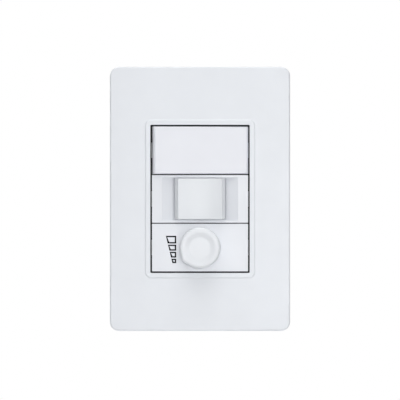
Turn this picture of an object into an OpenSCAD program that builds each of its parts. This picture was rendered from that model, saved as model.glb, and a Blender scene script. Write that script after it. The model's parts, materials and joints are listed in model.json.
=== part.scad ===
// Wall-plate dimmer with three modules: a rocker switch, a slide selector and a rotary dimmer.
// Millimetres. X is to the right, Z is up, and +Y goes back into the wall.
// The origin is on the wall plane, midway between the two box screws.

/* [Cover plate] */
// Width of the snap-on plate
plate_w = 81.8; // [78:0.1:86]
// Height of the snap-on plate
plate_h = 120; // [114:0.5:124]
// Distance from the wall to the plate's front face
plate_depth = 8.6; // [8:0.1:10]
// Corner radius seen from the front
plate_corner = 4.2; // [2:0.1:8]
// Radius that rolls the front face into the sides
plate_rim = 0.8; // [0.6:0.1:1.6]
// Thickness of the plate's skin
plate_skin = 1.8; // [1.5:0.1:2]
// Width of the raised lip round the opening
lip_w = 2.3; // [1:0.1:3]

/* [Module stack] */
// Distance from one module's centre to the next
pitch = 22.1; // [22.1:0.1:23]
// Width of a module's face
face_w = 43.6; // [43:0.1:43.8]
// Height of a module's face
face_h = 21.6; // [21.2:0.1:21.8]
// Distance that the fascias stand ahead of the plate
face_proud = 0.6; // [0.2:0.1:1]

/* [Mounting] */
// Distance between the two box screws
screw_spacing = 83.3; // [82:0.1:85]
// Radius of a box screw's shank
screw_r = 1.75; // [1.5:0.05:2]
// Length of a box screw behind the wall plane
screw_reach = 24; // [16:1:30]

/* [Rocker switch] */
// Angle of the key each side of level
rocker_tilt = 4.5; // [3:0.1:4.5]
// Angle of the contact lever each side of level
lever_tilt = 6; // [4:0.1:6]
// Depth of the switch behind the wall plane
switch_depth = 22.5; // [22.5:0.5:26]

/* [Slide selector] */
// Length of the track window
track_w = 34.4; // [33.5:0.1:36]
// Height of the track window
track_h = 19.4; // [19:0.1:19.4]
// Length of the slide key
slide_w = 22.8; // [22.4:0.1:24]
// Distance from the centre stop to either end stop
slide_travel = 4.4; // [3.5:0.1:4.4]
// Depth of the slide selector behind the wall plane
slide_depth = 17.5; // [17.5:0.5:24]

/* [Rotary dimmer] */
// Radius of the knob at its foot
knob_r = 9.3; // [8:0.1:9.6]
// Length of the knob, foot to front
knob_len = 9; // [7:0.5:12]
// Direction in which the pointer starts, counter-clockwise from the right
pointer_angle = 217; // [205:1:225]
// Depth of the dimmer behind the wall plane
dimmer_depth = 26.5; // [26.5:0.5:32]

/* [Hidden] */
$fn = 48;
eps = 0.01;
over = 1;

// Clearance round the modules in the plate's opening
opening_gap = 0.75;

// Front of the frame's collar
collar_y = -5;

// Depths: y falls towards the room and rises into the wall
plate_y = -plate_depth;
face_y = plate_y - face_proud;
opening_w = face_w + 2 * opening_gap;
opening_h = 2 * pitch + face_h + 2 * opening_gap;
plate_inner_y = plate_y + plate_skin;
lip_proud = 0.35;

plate_rib_rows = [45, 52];
plate_rib_half = 0.5;
plate_rib_t = 1.6;
skirt_t = 1.3;
skirt_y = collar_y - 0.4;
notch_half = 4;
notch_y = -1.6;

// Support frame
flange_w = 73;
flange_h = 108;
flange_t = 2.4;
collar_t = 2.2;
bay_w = face_w + 0.6;
bay_h = 2 * pitch + face_h + 0.9;
ledge_y = -1.2;
ledge_half_w = 20.6;
ledge_half_h = bay_h / 2 - 0.8;
divider_half = 0.55;
frame_rib_x = 34;
frame_rib_z = 50.5;
frame_rib_y = -3.6;
frame_rib_half = 0.6;
tie_z = 12;
window_x = 22;
window_half_w = 5;
window_half_h = 2.5;
snap_x = 29;
snap_z = 22;
prong_half_t = 0.7;
prong_half_h = 3.5;
prong_end = -0.4;
bead_half_h = 2.5;
bead_proud = 0.25;
bead_front = -1.6;
bead_back = -0.8;
screw_head_r = 3.4;
screw_head_t = 2.4;
lug_front = -3.1;
lug_back = -1.5;
lug_h = 7;
lug_proud = 0.9;
hook_x = 13;
hook_half = 2;
hook_proud = 0.9;

// Module shells and rear housings
shell_t = 1.3;
shell_half_w = face_w / 2;
shell_half_h = face_h / 2;
front_t = 2;
base_half_w = 20.3;
base_half_h = 10.4;
base_wall = 1.3;
base_back = 1.5;
base_y = -1;
spigot_y = -2.5;
spigot_half_h = 9.3;
spigot_t = 1;
shoulder_t = 0.8;
arm_x = 15;
arm_y = 3;
arm_half = 2;
arm_in = 8.1;
arm_out = 9;
arm_bead = 0.9;

// Screw clamps for the wires
clamp_in = 12;
clamp_out = 18.8;
clamp_len = 7.5;
clamp_half_h = 3.4;
wire_x = 14.6;
wire_r = 1.6;
clamp_thread_r = 1.25;
clamp_head_r = 2.3;
strip_foot = 0.9;
pair_z = 4.9;

// Rocker switch
key_y = face_y - 0.7;
key_half_w = 21.65;
key_half_h = 10.75;
key_foot_y = -5.2;
key_end_r = 1.3;
key_wall = 1.5;
pivot_y = -4.6;
pivot_r = 1.2;
cradle_plate_y = key_y + key_wall;
ear_in = 7.5;
ear_out = 9.1;
tube_r = 2.6;
tube_bore = 1.75;
tube_end = 5.6;
plunger_r = 1.6;
plunger_tip = 9.2;
lever_y = 10.65;
lever_rod_r = 0.6;
lever_front = 1.25;
lever_t = 0.6;
lever_reach = 8.5;
lever_stop_y = lever_y + lever_reach * sin(lever_tilt) + (lever_t - lever_front) * cos(lever_tilt) + 0.06;
contact_x = 7.2;
contact_r = 1.4;

// Slide selector
slide_under_y = face_y + 0.25;
slide_top_y = face_y - 2.8;
slide_half_h = 9.25;
slide_slope = 1.5;
slide_skirt = 0.55;
slide_dish = 1;
well_half_w = slide_w / 2 + 0.45;
well_floor_y = face_y + 4.2;
well_floor_t = 1.2;
ramp_out = 0.1;
ramp_in = 2.2;
neck_half_w = 2.6;
neck_half_h = 3.4;
carriage_y0 = -3.4;
carriage_y1 = 1.5;
carriage_half_w = 9.5;
carriage_half_h = 6;
rail_y = 2.8;
rail_t = 0.4;
board_t = 1.6;
pad_gap = 2.2;
pad_end = 8;
row_z = 3.7;
row_half = 1.1;
leg_t = 0.8;
strip_t = 0.7;

// Rotary dimmer
knob_foot_y = face_y - 0.5;
knob_front_y = knob_foot_y - knob_len;
knob_tip_r = knob_r + 0.75;
shaft_r = 3;
shaft_flat = 1.5;
bushing_r = 3.5;
sink_y = 0.5;
sink_t = 1.6;
pot_y = sink_y + sink_t;
pot_r = 7.9;
wafer_y = pot_y + 1;
can_y = wafer_y + 1.2;
can_len = 5.3;
pcb_y = 15.7;
pcb_t = 1.6;
lug_rows = [-5, 0, 5];
triac_x = -13.6;
triac_z = 4.9;
lead_rows = [triac_x - 2.5, triac_x, triac_x + 2.5];
choke_at = [9.2, 12.6, 1];
choke_mid_r = 4.4;
choke_half = 1.3;
mark_stroke = 0.65;
mark_right = -10.8;
mark_left_top = -15.5;
mark_slope = 0.238;
mark_top = 5.35;
mark_heights = [3.5, 2.75, 2.65, 2];
mark_gap = 0.5;
mark_t = 0.15;

// ---------------------------------------------------------------- helpers

// A box between two corners
module block(a, b) {
    translate(a) cube(b - a);
}

// Extrudes a shape drawn in X and Z from depth y0 to depth y1
module along_y(y0, y1) {
    translate([0, y1, 0]) rotate([90, 0, 0]) linear_extrude(y1 - y0) children();
}

// A cylinder along Y from y0 to y1
module rod_y(r, y0, y1, x = 0, z = 0) {
    translate([x, y1, z]) rotate([90, 0, 0]) cylinder(h = y1 - y0, r = r);
}

// A cylinder along X from x0 to x1
module rod_x(r, x0, x1, y = 0, z = 0) {
    translate([x0, y, z]) rotate([0, 90, 0]) cylinder(h = x1 - x0, r = r);
}

// A solid of revolution about the Y axis, from points [radius, y]
module turned_y(points) {
    rotate([-90, 0, 0]) rotate_extrude() polygon(points);
}

// Points of an arc about c
function arc(c, r, a0, a1, n = 6) = [
    for (i = [0:n])
        let (a = a0 + (a1 - a0) * i / n)
            c + r * [cos(a), sin(a)]
];

// Outline of a rectangle with round corners
function rounded(w, h, r, n = 6) = concat(
    arc([w / 2 - r, h / 2 - r], r, 0, 90, n),
    arc([r - w / 2, h / 2 - r], r, 90, 180, n),
    arc([r - w / 2, r - h / 2], r, 180, 270, n),
    arc([w / 2 - r, r - h / 2], r, 270, 360, n)
);

// Outline of a slot with round ends, lying along X
function stadium(length, r, n = 12) = concat(
    arc([length / 2 - r, 0], r, -90, 90, n),
    arc([r - length / 2, 0], r, 90, 270, n)
);

// Children on both sides of the YZ plane
module both_sides() {
    children();
    mirror([1, 0, 0]) children();
}

// Children above and below the XY plane
module top_and_bottom() {
    children();
    mirror([0, 0, 1]) children();
}

// Puts children in the frame of module n: 1 is the top one, -1 the bottom one
module in_bay(n) {
    translate([0, 0, n * pitch]) children();
}

// A helical wire about the Y axis
module coil(mean_r, wire, y0, y1, turns, per_turn = 12, sides = 6) {
    steps = turns * per_turn;
    points = [
        for (i = [0:steps], j = [0:sides - 1])
            let (a = 360 * i / per_turn, b = 360 * j / sides, r = mean_r + wire * cos(b))
                [r * cos(a), y0 + wire + (y1 - y0 - 2 * wire) * i / steps + wire * sin(b), r * sin(a)]
    ];
    sides_of = [
        for (i = [0:steps - 1], j = [0:sides - 1])
            let (k = (j + 1) % sides)
                [i * sides + j, (i + 1) * sides + j, (i + 1) * sides + k, i * sides + k]
    ];
    first = [for (j = [0:sides - 1]) j];
    last = [for (j = [sides - 1:-1:0]) steps * sides + j];
    polyhedron(points, concat(sides_of, [first, last]));
}

// ---------------------------------------------------------------- plate, support and screws

// One level of the plate's rolled rim, at angle a round its quarter circle
module rim_level(a) {
    inset = plate_rim * (1 - sin(a));
    level_y = plate_y + plate_rim * (1 - cos(a));
    along_y(level_y, level_y + eps)
        polygon(rounded(plate_w - 2 * inset, plate_h - 2 * inset, plate_corner - inset));
}

module plate_blank() {
    hull() {
        for (a = [0:22.5:90]) rim_level(a);
        along_y(-0.3, -0.3 + eps) polygon(rounded(plate_w, plate_h, plate_corner));
    }
}

// A prong that enters a slot of the support frame, with its latch bead
module snap_prong(x, z) {
    block(
        [x - prong_half_t, plate_inner_y - eps, z - prong_half_h],
        [x + prong_half_t, prong_end, z + prong_half_h]
    );
    block(
        [x + prong_half_t - eps, bead_front, z - bead_half_h],
        [x + prong_half_t + bead_proud, bead_back, z + bead_half_h]
    );
}

module cover_plate() {
    inner_w = plate_w - 2 * plate_skin;
    inner_h = plate_h - 2 * plate_skin;
    color("white") {
        difference() {
            union() {
                difference() {
                    plate_blank();
                    along_y(plate_inner_y, over)
                        polygon(rounded(inner_w, inner_h, plate_corner - plate_skin));
                }
                along_y(plate_y - lip_proud, plate_y + eps)
                    polygon(rounded(opening_w + 2 * lip_w, opening_h + 2 * lip_w, 2.6));
                along_y(plate_inner_y - eps, skirt_y)
                    square([opening_w + 2 * skirt_t, opening_h + 2 * skirt_t], center = true);
                for (row = plate_rib_rows, s = [-1, 1]) block(
                    [-inner_w / 2 - eps, plate_inner_y - eps, s * row - plate_rib_half],
                    [inner_w / 2 + eps, plate_inner_y + plate_rib_t, s * row + plate_rib_half]
                );
                for (x = [-snap_x, snap_x], z = [-snap_z, snap_z]) snap_prong(x, z);
            }
            along_y(plate_y - over, over) polygon(rounded(opening_w, opening_h, 0.5));
            block(
                [-notch_half, notch_y, -plate_h / 2 - over],
                [notch_half, over, plate_skin + eps - plate_h / 2]
            );
        }
    }
}

// Window in the frame's side wall that catches a module's lug
module lug_window(n) {
    block(
        [bay_w / 2 - over, lug_front - 0.3, n * pitch - lug_h / 2 - 0.5],
        [bay_w / 2 + collar_t + over, lug_back + 0.3, n * pitch + lug_h / 2 + 0.5]
    );
}

module support_frame() {
    color("dimgray") {
        difference() {
            union() {
                along_y(-flange_t, 0) polygon(rounded(flange_w, flange_h, 5));
                along_y(collar_y, -flange_t + eps)
                    polygon(rounded(bay_w + 2 * collar_t, bay_h + 2 * collar_t, 1.5));
                both_sides() block(
                    [frame_rib_x - frame_rib_half, frame_rib_y, -46],
                    [frame_rib_x + frame_rib_half, -flange_t + eps, 46]
                );
                for (s = [-1, 1]) block(
                    [-30, frame_rib_y, s * frame_rib_z - frame_rib_half],
                    [30, -flange_t + eps, s * frame_rib_z + frame_rib_half]
                );
                for (s = [-1, 1]) both_sides() block(
                    [bay_w / 2 + collar_t - eps, frame_rib_y, s * tie_z - frame_rib_half],
                    [frame_rib_x, -flange_t + eps, s * tie_z + frame_rib_half]
                );
            }
            block([-bay_w / 2, collar_y - over, -bay_h / 2], [bay_w / 2, ledge_y, bay_h / 2]);
            difference() {
                block([-ledge_half_w, ledge_y - eps, -ledge_half_h], [ledge_half_w, over, ledge_half_h]);
                for (s = [-1, 1]) block(
                    [-ledge_half_w - over, ledge_y, s * pitch / 2 - divider_half],
                    [ledge_half_w + over, 0, s * pitch / 2 + divider_half]
                );
            }
            for (n = [-1:1]) both_sides() lug_window(n);
            for (s = [-1, 1]) translate([0, 0, s * screw_spacing / 2])
                along_y(-flange_t - over, over) polygon(stadium(11, screw_r + 0.35));
            for (x = [-snap_x, snap_x], z = [-snap_z, snap_z]) block(
                [x - prong_half_t - 0.6, -flange_t - over, z - prong_half_h - 0.6],
                [x + prong_half_t + 0.6, over, z + prong_half_h + 0.6]
            );
            for (x = [-window_x, window_x], z = [-screw_spacing / 2, screw_spacing / 2]) block(
                [x - window_half_w, -flange_t - over, z - window_half_h],
                [x + window_half_w, over, z + window_half_h]
            );
        }
    }
}

// Pan-head screws with a cross recess and a thin neck where they pass the frame
module box_screws() {
    recess = 2.3;
    recess_half = 0.45;
    recess_floor = -flange_t - 1.2;
    head_y = -flange_t - screw_head_t;
    profile = [
        [0, head_y], [1.9, head_y + 0.1], [2.9, head_y + 0.6],
        [screw_head_r, head_y + 1.3], [screw_head_r, -flange_t],
        [screw_r - 0.3, -flange_t], [screw_r - 0.3, 0], [screw_r, 0],
        [screw_r, screw_reach - 1.6], [0.7, screw_reach], [0, screw_reach]
    ];
    color("silver") for (s = [-1, 1]) translate([0, 0, s * screw_spacing / 2]) difference() {
        turned_y(profile);
        block([-recess, head_y - over, -recess_half], [recess, recess_floor, recess_half]);
        block([-recess_half, head_y - over, -recess], [recess_half, recess_floor, recess]);
    }
}

// ---------------------------------------------------------------- shared module pieces

// The sides of a module's front shell, with a lug at each end and windows for the housing's hooks
module shell_walls(front) {
    difference() {
        block([-shell_half_w, front, -shell_half_h], [shell_half_w, ledge_y, shell_half_h]);
        block(
            [shell_t - shell_half_w, front - over, shell_t - shell_half_h],
            [shell_half_w - shell_t, over, shell_half_h - shell_t]
        );
    }
    both_sides() translate([0, 0, -lug_h / 2]) linear_extrude(lug_h) polygon([
        [shell_half_w - eps, lug_front], [shell_half_w + lug_proud, lug_front],
        [shell_half_w + lug_proud, lug_front + 0.5], [shell_half_w - eps, lug_back]
    ]);
}

// The front of a module's shell
module shell_front() {
    block(
        [-shell_half_w + eps, face_y, -shell_half_h + eps],
        [shell_half_w - eps, face_y + front_t, shell_half_h - eps]
    );
}

// Windows that the housing's hooks spring into
module hook_windows() {
    for (x = [-hook_x, hook_x]) top_and_bottom() block(
        [x - hook_half - 0.2, spigot_y + 0.1, shell_half_h - shell_t - over],
        [x + hook_half + 0.2, ledge_y - 0.2, shell_half_h + over]
    );
}

// A rear housing: a box open to the front, with a spigot and hooks that hold the front shell
module housing(depth, spigot = true) {
    difference() {
        union() {
            along_y(base_y, depth) polygon(rounded(2 * base_half_w, 2 * base_half_h, 0.8, 3));
            if (spigot)
                block([-base_half_w, spigot_y, -spigot_half_h], [base_half_w, base_y + eps, spigot_half_h]);
        }
        block(
            [base_wall - base_half_w, spigot ? base_y + shoulder_t : base_y - over, base_wall - base_half_h],
            [base_half_w - base_wall, depth - base_back, base_half_h - base_wall]
        );
        block(
            [base_wall - base_half_w, spigot_y - over, spigot_t - spigot_half_h],
            [base_half_w - base_wall, over, spigot_half_h - spigot_t]
        );
    }
    if (spigot) for (x = [-hook_x, hook_x]) top_and_bottom() block(
        [x - hook_half, spigot_y + 0.3, spigot_half_h - eps],
        [x + hook_half, ledge_y - 0.35, spigot_half_h + hook_proud]
    );
}

// Cuts for one wire clamp on the right side: the wire's window at the back
// and the screwdriver's hole at the side
module clamp_ports(depth, z) {
    translate([wire_x, 0, z]) along_y(depth - base_back - over, depth + over) square(4.6, center = true);
    rod_x(clamp_head_r + 0.3, clamp_out, base_half_w + over, clamp_mid(depth), z);
}

function clamp_back(depth) = depth - base_back - 0.1;
function clamp_front(depth) = clamp_back(depth) - clamp_len;
function clamp_mid(depth) = clamp_back(depth) - clamp_len / 2;

// Brass clamp for one wire, on the right side
module clamp(depth, z) {
    difference() {
        block(
            [clamp_in, clamp_front(depth), z - clamp_half_h],
            [clamp_out, clamp_back(depth), z + clamp_half_h]
        );
        rod_y(wire_r, clamp_front(depth) - over, clamp_back(depth) + over, wire_x, z);
        rod_x(clamp_thread_r, wire_x, clamp_out + over, clamp_mid(depth), z);
    }
}

// Slotted screw of one clamp, backed off so that the wire's hole is clear
module clamp_screw(depth, z) {
    head_x = clamp_out + 0.1;
    difference() {
        union() {
            rod_x(clamp_thread_r - 0.05, wire_x + wire_r + 0.1, head_x + eps, clamp_mid(depth), z);
            rod_x(clamp_head_r, head_x, head_x + 1.3, clamp_mid(depth), z);
        }
        block(
            [head_x + 0.6, clamp_mid(depth) - clamp_head_r - over, z - 0.35],
            [head_x + 2, clamp_mid(depth) + clamp_head_r + over, z + 0.35]
        );
    }
}

// ---------------------------------------------------------------- rocker switch

// Turns children from the level key to the key's resting tilt
module rocked() {
    translate([0, pivot_y, 0]) rotate([0, 0, rocker_tilt]) translate([0, -pivot_y, 0]) children();
}

module rocker_key() {
    outline = concat(
        [[-key_half_w, key_foot_y]],
        arc([key_end_r - key_half_w, key_y + key_end_r], key_end_r, 180, 270),
        arc([key_half_w - key_end_r, key_y + key_end_r], key_end_r, 270, 360),
        [[key_half_w, key_foot_y]]
    );
    color("white") in_bay(1) rocked() difference() {
        translate([0, 0, -key_half_h]) linear_extrude(2 * key_half_h) polygon(outline);
        block(
            [1.2 - key_half_w, key_y + key_wall, 1.2 - key_half_h],
            [key_half_w - 1.2, 0, key_half_h - 1.2]
        );
    }
}

module rocker_cradle() {
    color("whitesmoke") in_bay(1) rocked() difference() {
        union() {
            block([-14, cradle_plate_y, -6.8], [14, cradle_plate_y + 1.4, 6.8]);
            block([-3, cradle_plate_y + 1.3, -7.2], [3, -3, 7.2]);
            for (x = [-11, 11])
                block([x - 0.6, cradle_plate_y + 1.3, -6], [x + 0.6, cradle_plate_y + 2.6, 6]);
            rod_y(tube_r, -3.1, tube_end);
            translate([0, pivot_y, -9]) cylinder(h = 18, r = pivot_r);
        }
        rod_y(tube_bore, -6, tube_end + over);
    }
}

module rocker_spring() {
    color("silver") in_bay(1) rocked() coil(1.35, 0.2, -6, 2.8, 7);
}

module rocker_plunger() {
    color("dimgray") in_bay(1) rocked() turned_y(concat(
        [[0, 2.8], [plunger_r, 2.8]],
        arc([0, plunger_tip - plunger_r], plunger_r, 0, 90)
    ));
}

// An arm behind the frame whose bead springs into a window of the housing
module snap_arm(x) {
    block([x - arm_half, ledge_y - eps, arm_in], [x + arm_half, arm_y, arm_out]);
    block([x - arm_half, arm_y - 1.6, arm_out - eps], [x + arm_half, arm_y - 0.4, arm_out + arm_bead]);
}

module switch_frame() {
    color("white") in_bay(1) difference() {
        union() {
            shell_walls(-3.2);
            block([-20.6, -2.2, -9.6], [20.6, ledge_y, 9.6]);
            top_and_bottom() block([-2.4, -6.4, ear_in], [2.4, -2, ear_out]);
            for (x = [-arm_x, arm_x]) top_and_bottom() snap_arm(x);
        }
        block([-12, -4, -6.5], [12, over, 6.5]);
        translate([0, pivot_y, -shell_half_h]) cylinder(h = face_h, r = pivot_r + 0.08);
    }
}

module switch_base() {
    color("dimgray") in_bay(1) {
        difference() {
            housing(switch_depth, false);
            both_sides() clamp_ports(switch_depth, 0);
            for (x = [-arm_x, arm_x])
                block(
                    [x - arm_half - 0.2, arm_y - 1.8, -base_half_h - over],
                    [x + arm_half + 0.2, arm_y - 0.2, base_half_h + over]
                );
        }
        both_sides() top_and_bottom() block(
            [clamp_in - 1.1, clamp_front(switch_depth) - 1.5, 4.4],
            [clamp_in - 0.1, switch_depth - base_back + eps, base_half_h - base_wall + eps]
        );
        block([6, lever_stop_y, -2], [8.6, switch_depth - base_back + eps, 2]);
    }
}

// Turns children from the level lever to the lever's resting tilt
module levered() {
    translate([0, lever_y, 0]) rotate([0, 0, -lever_tilt]) children();
}

module contact_lever() {
    color("peru") in_bay(1) levered() difference() {
        union() {
            block([-lever_reach, -lever_front, -2.6], [lever_reach, lever_t - lever_front, 2.6]);
            translate([0, 0, -2.6]) cylinder(h = 5.2, r = lever_front);
        }
        translate([0, 0, -4]) cylinder(h = 8, r = lever_rod_r + 0.08);
        block([-2, 0.15, -4], [2, 2, 4]);
    }
}

module lever_contact() {
    color("lightgray") in_bay(1) levered()
        rod_y(contact_r, lever_t - lever_front, lever_t - lever_front + 0.5, -contact_x);
}

module fixed_contact() {
    color("lightgray") in_bay(1) levered()
        rod_y(contact_r, lever_t - lever_front + 0.56, lever_t - lever_front + 1.1, -contact_x);
}

module load_strip() {
    strip_y = 12.1;
    strip_half = 2.2;
    color("goldenrod") in_bay(1) {
        difference() {
            union() {
                block([-clamp_in, strip_y, -strip_half], [-5.4, strip_y + strip_t, strip_half]);
                translate([0, lever_y, 0]) rotate([0, 0, -lever_tilt])
                    block([-contact_x - 1.3, lever_t - lever_front + 1.1, -1.3], [1.3 - contact_x, 2, 1.3]);
            }
            block([-10, strip_y + strip_t, -3], [-4, strip_y + 3, 3]);
        }
        block(
            [-clamp_in - strip_foot, strip_y, -strip_half],
            [-clamp_in + eps, clamp_front(switch_depth), strip_half]
        );
    }
}

module common_bracket() {
    foot_y = clamp_front(switch_depth) - strip_t;
    half_h = 4.2;
    color("goldenrod") in_bay(1) {
        translate([0, lever_y, -half_h]) cylinder(h = 2 * half_h, r = lever_rod_r);
        difference() {
            block([-1.5, lever_y - 1, -half_h], [1.5, foot_y + strip_t, half_h]);
            block([-2, lever_y - 2, 1 - half_h], [2, foot_y, half_h - 1]);
        }
        block([1.5 - eps, foot_y, -half_h], [clamp_in + strip_foot, foot_y + strip_t, -2.9]);
    }
}

module switch_clamps() {
    color("gold") in_bay(1) both_sides() clamp(switch_depth, 0);
}

module switch_clamp_screws() {
    color("silver") in_bay(1) both_sides() clamp_screw(switch_depth, 0);
}

// ---------------------------------------------------------------- slide selector

module slide_key() {
    half_w = slide_w / 2;
    top_half = half_w - slide_slope;
    dish_r = (top_half * top_half + slide_dish * slide_dish) / (2 * slide_dish);
    sweep = asin(top_half / dish_r);
    outline = concat(
        [[-half_w, slide_under_y], [-half_w, slide_under_y - slide_skirt]],
        arc([0, slide_top_y - dish_r + slide_dish], dish_r, 90 + sweep, 90 - sweep, 10),
        [[half_w, slide_under_y - slide_skirt], [half_w, slide_under_y]]
    );
    color("white") {
        translate([0, 0, -slide_half_h]) linear_extrude(2 * slide_half_h) polygon(outline);
        block(
            [-neck_half_w, slide_under_y - eps, -neck_half_h],
            [neck_half_w, carriage_y0 + 1.4, neck_half_h]
        );
    }
}

module slide_carriage() {
    color("dimgray") difference() {
        block(
            [-carriage_half_w, carriage_y0, -carriage_half_h],
            [carriage_half_w, carriage_y1, carriage_half_h]
        );
        block(
            [-neck_half_w, carriage_y0 - over, -neck_half_h],
            [neck_half_w, carriage_y0 + 1.4, neck_half_h]
        );
        for (z = [-row_z, row_z]) rod_y(1.15, -0.9, carriage_y1 + over, 0, z);
        for (n = [-1:1]) translate([n * slide_travel, carriage_y0 - over, -carriage_half_h])
            rotate([-90, 0, 0]) linear_extrude(8) polygon([[-0.95, 0.2], [0, -0.75], [0.95, 0.2]]);
    }
}

module bridge_springs() {
    color("silver") for (z = [-row_z, row_z]) translate([0, 0, z]) coil(0.85, 0.15, -0.9, 1.5, 4, 10, 5);
}

module slide_bridge() {
    color("peru") {
        block([-1.4, carriage_y1, -row_z - 1], [1.4, carriage_y1 + 0.4, row_z + 1]);
        for (z = [-row_z, row_z]) intersection() {
            rod_x(0.9, -1.2, 1.2, rail_y - 1, z);
            block([-2, carriage_y1 + 0.3, z - 2], [2, rail_y, z + 2]);
        }
    }
}

module track_cut() {
    half = track_w / 2;
    translate([0, 0, -track_h / 2]) linear_extrude(track_h) polygon([
        [-half, face_y - over], [-half, face_y + ramp_out],
        [-well_half_w, face_y + ramp_in], [-well_half_w, well_floor_y],
        [well_half_w, well_floor_y], [well_half_w, face_y + ramp_in],
        [half, face_y + ramp_out], [half, face_y - over]
    ]);
}

module slide_fascia() {
    slot_half_w = neck_half_w + slide_travel + 0.3;
    color("white") difference() {
        union() {
            shell_walls(face_y);
            shell_front();
            block(
                [-well_half_w - 1.2, face_y + eps, shell_t - shell_half_h - eps],
                [well_half_w + 1.2, well_floor_y + well_floor_t, shell_half_h - shell_t + eps]
            );
        }
        track_cut();
        block(
            [-slot_half_w, well_floor_y - eps, -neck_half_h - 0.4],
            [slot_half_w, 0, neck_half_h + 0.4]
        );
        hook_windows();
    }
}

module slide_base() {
    inner_h = base_half_h - base_wall;
    board_y = rail_y + rail_t;
    color("dimgray") {
        difference() {
            housing(slide_depth);
            mirror([1, 0, 0]) clamp_ports(slide_depth, 0);
            for (s = [-1, 1]) clamp_ports(slide_depth, s * pair_z);
        }
        top_and_bottom() both_sides() block(
            [16, board_y + board_t, 8.4],
            [18, slide_depth - base_back + eps, inner_h + eps]
        );
        both_sides() block([7, -0.8, -inner_h - eps], [9, 2.7, -7.55]);
        both_sides() block([9 - eps, -0.8, -inner_h - eps], [9.7, 2.7, -6.9]);
    }
}

module contact_board() {
    board_y = rail_y + rail_t;
    color("sienna") difference() {
        block([-18.6, board_y, -8.9], [18.6, board_y + board_t, 8.9]);
        for (x = [-pad_end, pad_end - leg_t], z = [-row_z, row_z]) block(
            [x - 0.1, board_y - over, z - row_half - 0.1],
            [x + leg_t + 0.1, board_y + 3, z + row_half + 0.1]
        );
    }
}

// A contact strip on the board's face with a leg through the board
module contact_strip(x0, x1, z, leg_x, leg_end) {
    block([x0, rail_y, z - row_half], [x1, rail_y + rail_t, z + row_half]);
    block([leg_x, rail_y + eps, z - row_half], [leg_x + leg_t, leg_end, z + row_half]);
}

module slide_common_rail() {
    turn_y = clamp_front(slide_depth) - strip_t;
    color("goldenrod") {
        contact_strip(-pad_end, pad_end - 1.5, -row_z, -pad_end, turn_y + strip_t);
        block(
            [-clamp_in - strip_foot, turn_y, -row_z - row_half],
            [eps - pad_end, turn_y + strip_t, -row_z + row_half]
        );
    }
}

module slide_left_pad() {
    turn_y = clamp_front(slide_depth) - strip_t;
    color("goldenrod") {
        contact_strip(-pad_end, -pad_gap, row_z, -pad_end, turn_y + strip_t);
        block(
            [leg_t - pad_end - eps, turn_y, row_z - row_half],
            [clamp_in + strip_foot, turn_y + strip_t, row_z + row_half]
        );
    }
}

module slide_right_pad() {
    turn_y = rail_y + rail_t + board_t + 0.1;
    leg_x = pad_end - leg_t;
    color("goldenrod") {
        contact_strip(pad_gap, pad_end, row_z, leg_x, turn_y + strip_t);
        block([leg_x, turn_y, -pair_z - row_half], [pad_end, turn_y + strip_t, row_z]);
        block(
            [pad_end - eps, turn_y, -pair_z - row_half],
            [clamp_in + strip_foot, turn_y + strip_t, -pair_z + row_half]
        );
        block(
            [clamp_in, turn_y, -pair_z - row_half],
            [clamp_in + strip_foot, clamp_front(slide_depth), -pair_z + row_half]
        );
    }
}

module detent_spring() {
    t = 0.3;
    rest_z = -7.2;
    rise = 1.75;
    color("silver") translate([0, -0.4, 0]) rotate([-90, 0, 0]) linear_extrude(2.8) polygon([
        for (p = [[-8.9, 0], [-1.7, 0], [0, rise], [1.7, 0], [8.9, 0]]) [p[0], -rest_z - p[1]],
        for (p = [[8.9, 0], [1.7 - 0.4 * t, 0], [0, rise - 0.4 * t], [0.4 * t - 1.7, 0], [-8.9, 0]])
            [p[0], -rest_z - p[1] + t]
    ]);
}

module slide_clamps() {
    color("gold") {
        mirror([1, 0, 0]) clamp(slide_depth, 0);
        for (s = [-1, 1]) clamp(slide_depth, s * pair_z);
    }
}

module slide_clamp_screws() {
    color("silver") {
        mirror([1, 0, 0]) clamp_screw(slide_depth, 0);
        for (s = [-1, 1]) clamp_screw(slide_depth, s * pair_z);
    }
}

// ---------------------------------------------------------------- rotary dimmer

// Outline of the knob: a circle drawn out to a blunt pointer by two tangents
function knob_outline(r, tip, blunt = 0.6) =
    let (open = acos(r / tip) + 3, heading = [cos(pointer_angle), sin(pointer_angle)])
        concat(
            arc([0, 0], r, pointer_angle + open, pointer_angle + 360 - open, 40),
            arc((tip - blunt) * heading, blunt, pointer_angle - 30, pointer_angle + 30, 3)
        );

// One slice of the knob, taken in by inset
module knob_slice(inset, y) {
    along_y(y, y + eps) polygon(knob_outline(knob_r - inset, knob_tip_r - inset));
}

module dimmer_knob() {
    edge = 1;
    dish_half = 7.4;
    dish_depth = 0.7;
    dish_r = (dish_half * dish_half + dish_depth * dish_depth) / (2 * dish_depth);
    color("white") in_bay(-1) difference() {
        hull() {
            knob_slice(0, knob_foot_y - eps);
            knob_slice(0.15, knob_front_y + edge);
            knob_slice(0.3, knob_front_y + 0.5 * edge);
            knob_slice(0.55, knob_front_y + 0.2 * edge);
            knob_slice(0.15 + edge, knob_front_y);
        }
        translate([0, knob_front_y + dish_depth - dish_r, 0]) sphere(r = dish_r);
        difference() {
            rod_y(shaft_r + 0.05, knob_front_y + 2.2, knob_foot_y + over);
            block([-5, knob_front_y, shaft_flat + 0.05], [5, knob_foot_y + 2, 5]);
        }
        block([-1.6, knob_front_y + 2.6, shaft_flat + 0.04], [1.6, knob_foot_y + over, shaft_flat + 0.4]);
        difference() {
            rod_y(knob_r - 1.6, knob_front_y + 2.6, knob_foot_y + over);
            rod_y(shaft_r + 1.6, knob_front_y, knob_foot_y + 2);
        }
    }
}

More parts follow.
